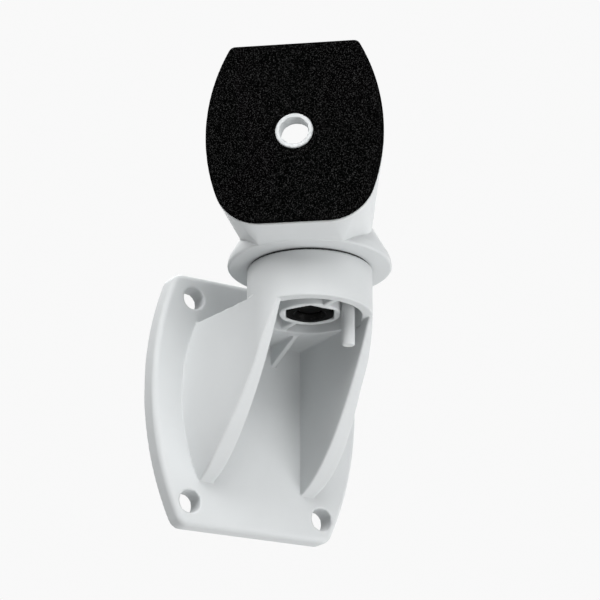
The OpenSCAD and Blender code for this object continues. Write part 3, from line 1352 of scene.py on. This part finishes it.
    def build(self, wardrobe: Wardrobe) -> list[bpy.types.Object]:
        """Make the moulding and the pad, and dress the pad's film.

        Args:
            wardrobe: The finishes.

        Returns:
            The pieces.
        """
        half = self.skirt_d / 2 + self.side_room
        low = Vector((-half, -self.pad_front, self.post_end))
        high = Vector((half, half, self.top))
        moulding = self.skin.wrap("head_moulding", self.solid, (low, high), self.swivel.turned)
        wardrobe.enter(moulding, Slot.PLASTIC, Body.HEAD, "swivel_head")
        low.z = self.hole_z - self.pad_h / 2
        high.y = -self.plate_front
        pad = self.pad_skin.wrap("device_pad", self.foam, (low, high), self.swivel.turned)
        self.pit(pad)
        wardrobe.enter(pad, Slot.FOAM, Body.HEAD, "foam_pad")
        return [moulding, pad, wardrobe.keep("pad_adhesive", Slot.FILM)]


@dataclass
class PivotFittings:
    """The fittings on the swivel axis: bolt, spring washer, flat washer and nut.

    Attributes:
        swivel: The axis that they sit on.
        skin: How they are meshed.
        bolt_d: Diameter of the bolt's thread.
        pitch: Rise of the thread in a turn.
        thread_depth: Depth of the thread.
        flank_rise: How steeply the thread's flanks rise, so that crests and roots are flat.
        flank_start: Where they start to rise.
        shank_run: How far the shank runs into the bolt's head.
        key_flats: Width of the hexagon socket.
        key_depth: Depth of the hexagon socket.
        key_mouth: How much wider the socket's bevelled mouth is, on each side.
        key_mouth_depth: Depth of that mouth.
        knurl_depth: Depth of the grooves on the bolt's head.
        knurls: Number of those grooves.
        knurl_end: How far below the top of the head they end.
        running_gap: Gap between the bolt and the holes that it turns in.
        washer_gap: Gap between the bolt and the flat washer.
        nut_hole_d: Diameter inside the nut's thread.
        nut_bevel_d: Diameter of the bevel at the nut's mouth.
        nut_corner_lean: How far the nut's corners are bevelled, in degrees.
        split_w: Width of the spring washer's split.
        split_turn: Where the split faces, in degrees.
        split_lean: How far the split leans over, sideways for each step up.
        edge_r: Rounding of the fittings' edges.
    """

    swivel: Swivel
    skin: Skin = Skin(0.2)
    bolt_d: float = 6.35
    pitch: float = 1.27
    thread_depth: float = 0.6
    flank_rise: float = 1.5
    flank_start: float = 0.25
    shank_run: float = 1.0
    key_flats: float = 4.8
    key_depth: float = 3.15
    key_mouth: float = 0.4
    key_mouth_depth: float = 0.6
    knurl_depth: float = 0.12
    knurls: int = 40
    knurl_end: float = 1.0
    running_gap: float = 0.08
    washer_gap: float = 0.28
    nut_hole_d: float = 5.0
    nut_bevel_d: float = 8.0
    nut_corner_lean: float = 30.0
    split_w: float = 0.8
    split_turn: float = 200.0
    split_lean: float = 0.5
    edge_r: float = 0.2

    def __post_init__(self) -> None:
        """Work out the remaining sizes from the frame."""
        nodes = ("pivot_bolt", "lock_washer", "flat_washer", "hex_nut")
        self.boxes = {node: node_box(node) for node in nodes}
        self.seat = self.boxes["lock_washer"][1].z

    def radius(self, node: str) -> float:
        """Half the width of a fitting."""
        low, high = self.boxes[node]
        return (high.x - low.x) / 2

    def heights(self, node: str) -> tuple[float, float]:
        """Lowest and highest point of a fitting."""
        low, high = self.boxes[node]
        return low.z, high.z

    def thread(self, x: Array, y: Array, z: Array) -> Array:
        """Describe the thread, which winds around the axis.

        Args:
            x: Sideways from the axis.
            y: Towards the wall from the axis.
            z: Height.

        Returns:
            Depth of the groove, from 0 on a crest to 1 in a root.
        """
        turns = z / self.pitch - np.arctan2(y, x) / (2 * math.pi)
        flank = np.abs(2 * (turns - np.floor(turns)) - 1)
        return np.clip(self.flank_rise * flank - self.flank_start, 0.0, 1.0)

    def bolt(self, x: Array, y: Array, z: Array) -> Array:
        """The bolt: threaded shank, knurled head and hexagon socket.

        Args:
            x: Sideways from the axis.
            y: Towards the wall from the axis.
            z: Height.

        Returns:
            Distance outside it.
        """
        end, top = self.heights("pivot_bolt")
        across = np.hypot(x, y)
        thread_r = self.bolt_d / 2
        tip = (across - thread_r + self.thread_depth + end - z) / math.sqrt(2.0)
        shank = across - thread_r + self.thread_depth * self.thread(x, y, z)
        shank = np.maximum(np.maximum(shank, tip), between(z, end, self.seat + self.shank_run))
        grooves = 0.5 - 0.5 * np.cos(self.knurls * np.arctan2(y, x))
        head_r = self.radius("pivot_bolt")
        upright = np.clip((z - self.seat) * (top - self.knurl_end - z), 0.0, 1.0)
        head = across - head_r + self.knurl_depth * grooves * upright
        head = meet(head, between(z, self.seat, top), 2 * self.edge_r)
        mouth = (across - self.key_flats / 2 - self.key_mouth + top - z) / math.sqrt(2.0)
        mouth = np.maximum(mouth, top - self.key_mouth_depth - z)
        socket = np.maximum(hexagon(x, y, self.key_flats), top - self.key_depth - z)
        return cut(np.minimum(shank, head), np.minimum(socket, mouth), self.edge_r / 2)

    def washer(self, node: str, inner_r: float) -> Solid:
        """Describe a flat ring with stamped edges.

        Args:
            node: The frame node that it stands for.
            inner_r: Radius of its hole.

        Returns:
            The ring.
        """
        bottom, top = self.heights(node)
        outer_r = self.radius(node)

        def ring(x: Array, y: Array, z: Array) -> Array:
            """Measure from the ring.

            Args:
                x: Sideways from the axis.
                y: Towards the wall from the axis.
                z: Height.

            Returns:
                Distance outside it.
            """
            across = np.hypot(x, y)
            band = np.maximum(across - outer_r, inner_r - across)
            return meet(meet(band, z - top, self.edge_r), bottom - z, self.edge_r / 2)

        return ring

    def spring_washer(self, x: Array, y: Array, z: Array) -> Array:
        """The spring washer, with a leaning split.

        Args:
            x: Sideways from the axis.
            y: Towards the wall from the axis.
            z: Height.

        Returns:
            Distance outside it.
        """
        bottom, top = self.heights("lock_washer")
        ring = self.washer("lock_washer", self.bolt_d / 2 + self.running_gap)(x, y, z)
        turn = math.radians(self.split_turn)
        ahead = x * math.cos(turn) + y * math.sin(turn)
        aside = y * math.cos(turn) - x * math.sin(turn)
        leaning = np.abs(aside - self.split_lean * (z - (bottom + top) / 2)) - self.split_w / 2
        return cut(ring, np.maximum(leaning, -ahead), self.edge_r / 2)

    def nut(self, x: Array, y: Array, z: Array) -> Array:
        """The nut: bevelled corners, and a thread below the end of the bolt.

        Args:
            x: Sideways from the axis.
            y: Towards the wall from the axis.
            z: Height.

        Returns:
            Distance outside it.
        """
        bottom, top = self.heights("hex_nut")
        flats = self.boxes["hex_nut"][1].y - self.boxes["hex_nut"][0].y
        across = np.hypot(x, y)
        from_end = np.minimum(z - bottom, top - z)
        lean = math.radians(self.nut_corner_lean)
        bevel = (across - flats / 2) * math.sin(lean) - from_end * math.cos(lean)
        block = meet(hexagon(x, y, flats), between(z, bottom, top), self.edge_r / 2)
        block = meet(block, bevel, self.edge_r / 2)
        groove = self.thread_depth * (1.0 - self.thread(x, y, z))
        threaded = across - self.nut_hole_d / 2 - groove
        bolt_end = self.heights("pivot_bolt")[0]
        plain = np.maximum(across - self.bolt_d / 2 - self.running_gap, bolt_end - z)
        mouth = (across - self.nut_bevel_d / 2 + z - bottom) / math.sqrt(2.0)
        return cut(block, np.minimum(np.minimum(threaded, plain), mouth), self.edge_r / 4)

    def fit(self, name: str, solid: Solid, node: str) -> bpy.types.Object:
        """Make one fitting.

        Args:
            name: Name of the new piece.
            solid: Its shape, in a frame on the axis.
            node: The frame node that it stands for.

        Returns:
            The piece.
        """
        low, high = self.boxes[node]
        axis = Vector((0.0, -self.swivel.reach, 0.0))
        return self.skin.wrap(name, solid, (low - axis, high - axis), self.swivel.upright)

    def build(self, wardrobe: Wardrobe) -> list[bpy.types.Object]:
        """Make the fittings and dress them.

        Args:
            wardrobe: The finishes.

        Returns:
            The pieces.
        """
        flat = self.washer("flat_washer", self.bolt_d / 2 + self.washer_gap)
        parts = (
            ("clamp_bolt", self.bolt, "pivot_bolt", Slot.BLACK_STEEL, Body.BOLT),
            ("spring_washer", self.spring_washer, "lock_washer", Slot.ZINC, Body.BOLT),
            ("plain_washer", flat, "flat_washer", Slot.ZINC, Body.HEAD),
            ("clamp_nut", self.nut, "hex_nut", Slot.BLACK_STEEL, Body.BRACKET),
        )
        made = []
        for name, solid, node, slot, body in parts:
            piece = self.fit(name, solid, node)
            made.append(wardrobe.enter(piece, slot, body, node))
        return made


@dataclass(frozen=True)
class Lamp:
    """A soft square lamp that faces the object.

    Attributes:
        name: Name of the lamp.
        azimuth: Where it hangs, in degrees to the right of straight ahead.
        elevation: How far above level, in degrees.
        brightness: How bright a white card that faces it would look.
    """

    name: str
    azimuth: float
    elevation: float
    brightness: float


LAMPS = (
    Lamp("key", -15.0, 30.0, 0.56),
    Lamp("left", -75.0, 30.0, 0.67),
    Lamp("right", 105.0, 0.0, 0.2),
    Lamp("low_front", 10.0, -25.0, 0.37),
    Lamp("low_right", 60.0, -50.0, 0.55),
    Lamp("top", 0.0, 90.0, 0.4),
    Lamp("back_right", 150.0, 20.0, 0.25),
    Lamp("back_high", 180.0, 55.0, 0.35),
)


@dataclass
class Studio:
    """The camera, the lamps, the floor and the white surroundings.

    Attributes:
        azimuth: Where the camera stands, in degrees to the right of straight ahead.
        elevation: How far above level it stands, in degrees.
        target: What it looks at.
        distance: How far from that it stands.
        lens: Focal length.
        sensor: Width of the picture in the camera.
        nearest: Nearest distance that it shows.
        farthest: Farthest distance that it shows.
        white: Brightness of the surroundings in the picture.
        dome: Brightness of the surroundings as light.
        lamp_distance: How far away the lamps hang.
        lamp_size: Width of the lamps.
        floor_drop: How far below the wall plate's middle the floor lies.
        floor_size: Width of the floor.
        floor_grey: How pale the floor is.
        floor_rough: How matt the floor is.
    """

    azimuth: float = -30.39
    elevation: float = -20.01
    target: tuple[float, float, float] = (6.12, -15.0, 26.25)
    distance: float = 484.79
    lens: float = 118.5
    sensor: float = 36.0
    nearest: float = 10.0
    farthest: float = 20000.0
    white: float = 0.945
    dome: float = 0.1
    lamp_distance: float = 800.0
    lamp_size: float = 450.0
    floor_drop: float = 620.0
    floor_size: float = 6000.0
    floor_grey: float = 0.8
    floor_rough: float = 0.9

    def stand(
        self, data: bpy.types.ID, azimuth: float, elevation: float, distance: float
    ) -> bpy.types.Object:
        """Stand a camera or a lamp around the object, so that it faces it.

        Args:
            data: The camera or lamp.
            azimuth: Where it stands, in degrees to the right of straight ahead.
            elevation: How far above level it stands, in degrees.
            distance: How far away it stands.

        Returns:
            Its object.
        """
        a = math.radians(azimuth)
        e = math.radians(elevation)
        back = Vector((math.sin(a) * math.cos(e), -math.cos(a) * math.cos(e), math.sin(e)))
        thing = bpy.data.objects.new(data.name, data)
        thing.location = (Vector(self.target) + back * distance) * MM
        thing.rotation_euler = (-back).to_track_quat("-Z", "Y").to_euler()
        bpy.context.scene.collection.objects.link(thing)
        return thing

    def set_camera(self) -> None:
        """Stand the camera where the picture was taken from."""
        data = bpy.data.cameras.new("camera")
        data.lens = self.lens
        data.sensor_width = self.sensor
        data.clip_start = self.nearest * MM
        data.clip_end = self.farthest * MM
        camera = self.stand(data, self.azimuth, self.elevation, self.distance)
        bpy.context.scene.camera = camera

    def hang(self, lamp: Lamp) -> None:
        """Hang a lamp.

        Args:
            lamp: The lamp.
        """
        data = bpy.data.lights.new(lamp.name, "AREA")
        data.shape = "SQUARE"
        data.size = self.lamp_size * MM
        data.energy = lamp.brightness * (math.pi * self.lamp_distance * MM) ** 2
        hung = self.stand(data, lamp.azimuth, lamp.elevation, self.lamp_distance)
        hung.visible_camera = False

    def whiten(self, tree: bpy.types.NodeTree, lit: str, plain: str, output: str) -> None:
        """Let the surroundings look plain white, while they light the object as they are.

        Args:
            tree: Nodes of the world or of a material.
            lit: Name of the shader that lights the object.
            plain: Type of the shader that the camera, reflections and glass show.
            output: Name of the output.
        """
        sketch = Sketch(tree)
        path = sketch.node("ShaderNodeLightPath").outputs
        seen = sketch.combine("MAXIMUM", path["Is Camera Ray"], path["Is Glossy Ray"])
        seen = sketch.combine("MAXIMUM", seen, path["Is Transmission Ray"])
        white = sketch.node(plain, {"Color": grey(self.white), "Strength": 1.0})
        links = {0: seen, 1: tree.nodes[lit].outputs[0], 2: white.outputs[0]}
        shown = sketch.node("ShaderNodeMixShader", links)
        tree.links.new(shown.outputs[0], tree.nodes[output].inputs["Surface"])

    def set_world(self) -> None:
        """Surround the object with soft light that looks white in the picture."""
        world = bpy.data.worlds.new("surroundings")
        world.use_nodes = True
        bpy.context.scene.world = world
        light = world.node_tree.nodes["Background"].inputs
        light["Color"].default_value = grey(1.0)
        light["Strength"].default_value = self.dome
        self.whiten(world.node_tree, "Background", "ShaderNodeBackground", "World Output")

    def lay_floor(self) -> None:
        """Lay a wide pale floor below the bracket."""
        half = self.floor_size / 2 * MM
        drop = -self.floor_drop * MM
        corners = [(-half, -half, drop), (half, -half, drop), (half, half, drop), (-half, half, drop)]
        mesh = bpy.data.meshes.new("floor")
        mesh.from_pydata(corners, [], [(0, 1, 2, 3)])
        floor = bpy.data.objects.new("floor", mesh)
        bpy.context.scene.collection.objects.link(floor)
        paint = bpy.data.materials.new("pale_floor")
        paint.use_nodes = True
        shader = paint.node_tree.nodes["Principled BSDF"].inputs
        shader["Base Color"].default_value = grey(self.floor_grey)
        shader["Roughness"].default_value = self.floor_rough
        self.whiten(paint.node_tree, "Principled BSDF", "ShaderNodeEmission", "Material Output")
        mesh.materials.append(paint)

    def build(self) -> None:
        """Set up the whole studio."""
        self.set_camera()
        self.set_world()
        self.lay_floor()
        for lamp in LAMPS:
            self.hang(lamp)
        bpy.context.scene.view_settings.view_transform = "Standard"


def main() -> None:
    """Build the studio, the finishes and the pieces, and report each piece."""
    logging.basicConfig(level=logging.INFO, format="%(name)s: %(message)s")
    Studio().build()
    wardrobe = Wardrobe()
    swivel = Swivel.from_frame()
    for assembly in (WallBracket(swivel), SwivelHead(swivel), PivotFittings(swivel)):
        for piece in assembly.build(wardrobe):
            log.info("%s: %d faces", piece.name, len(piece.data.polygons))


if __name__ == "__main__":
    main()
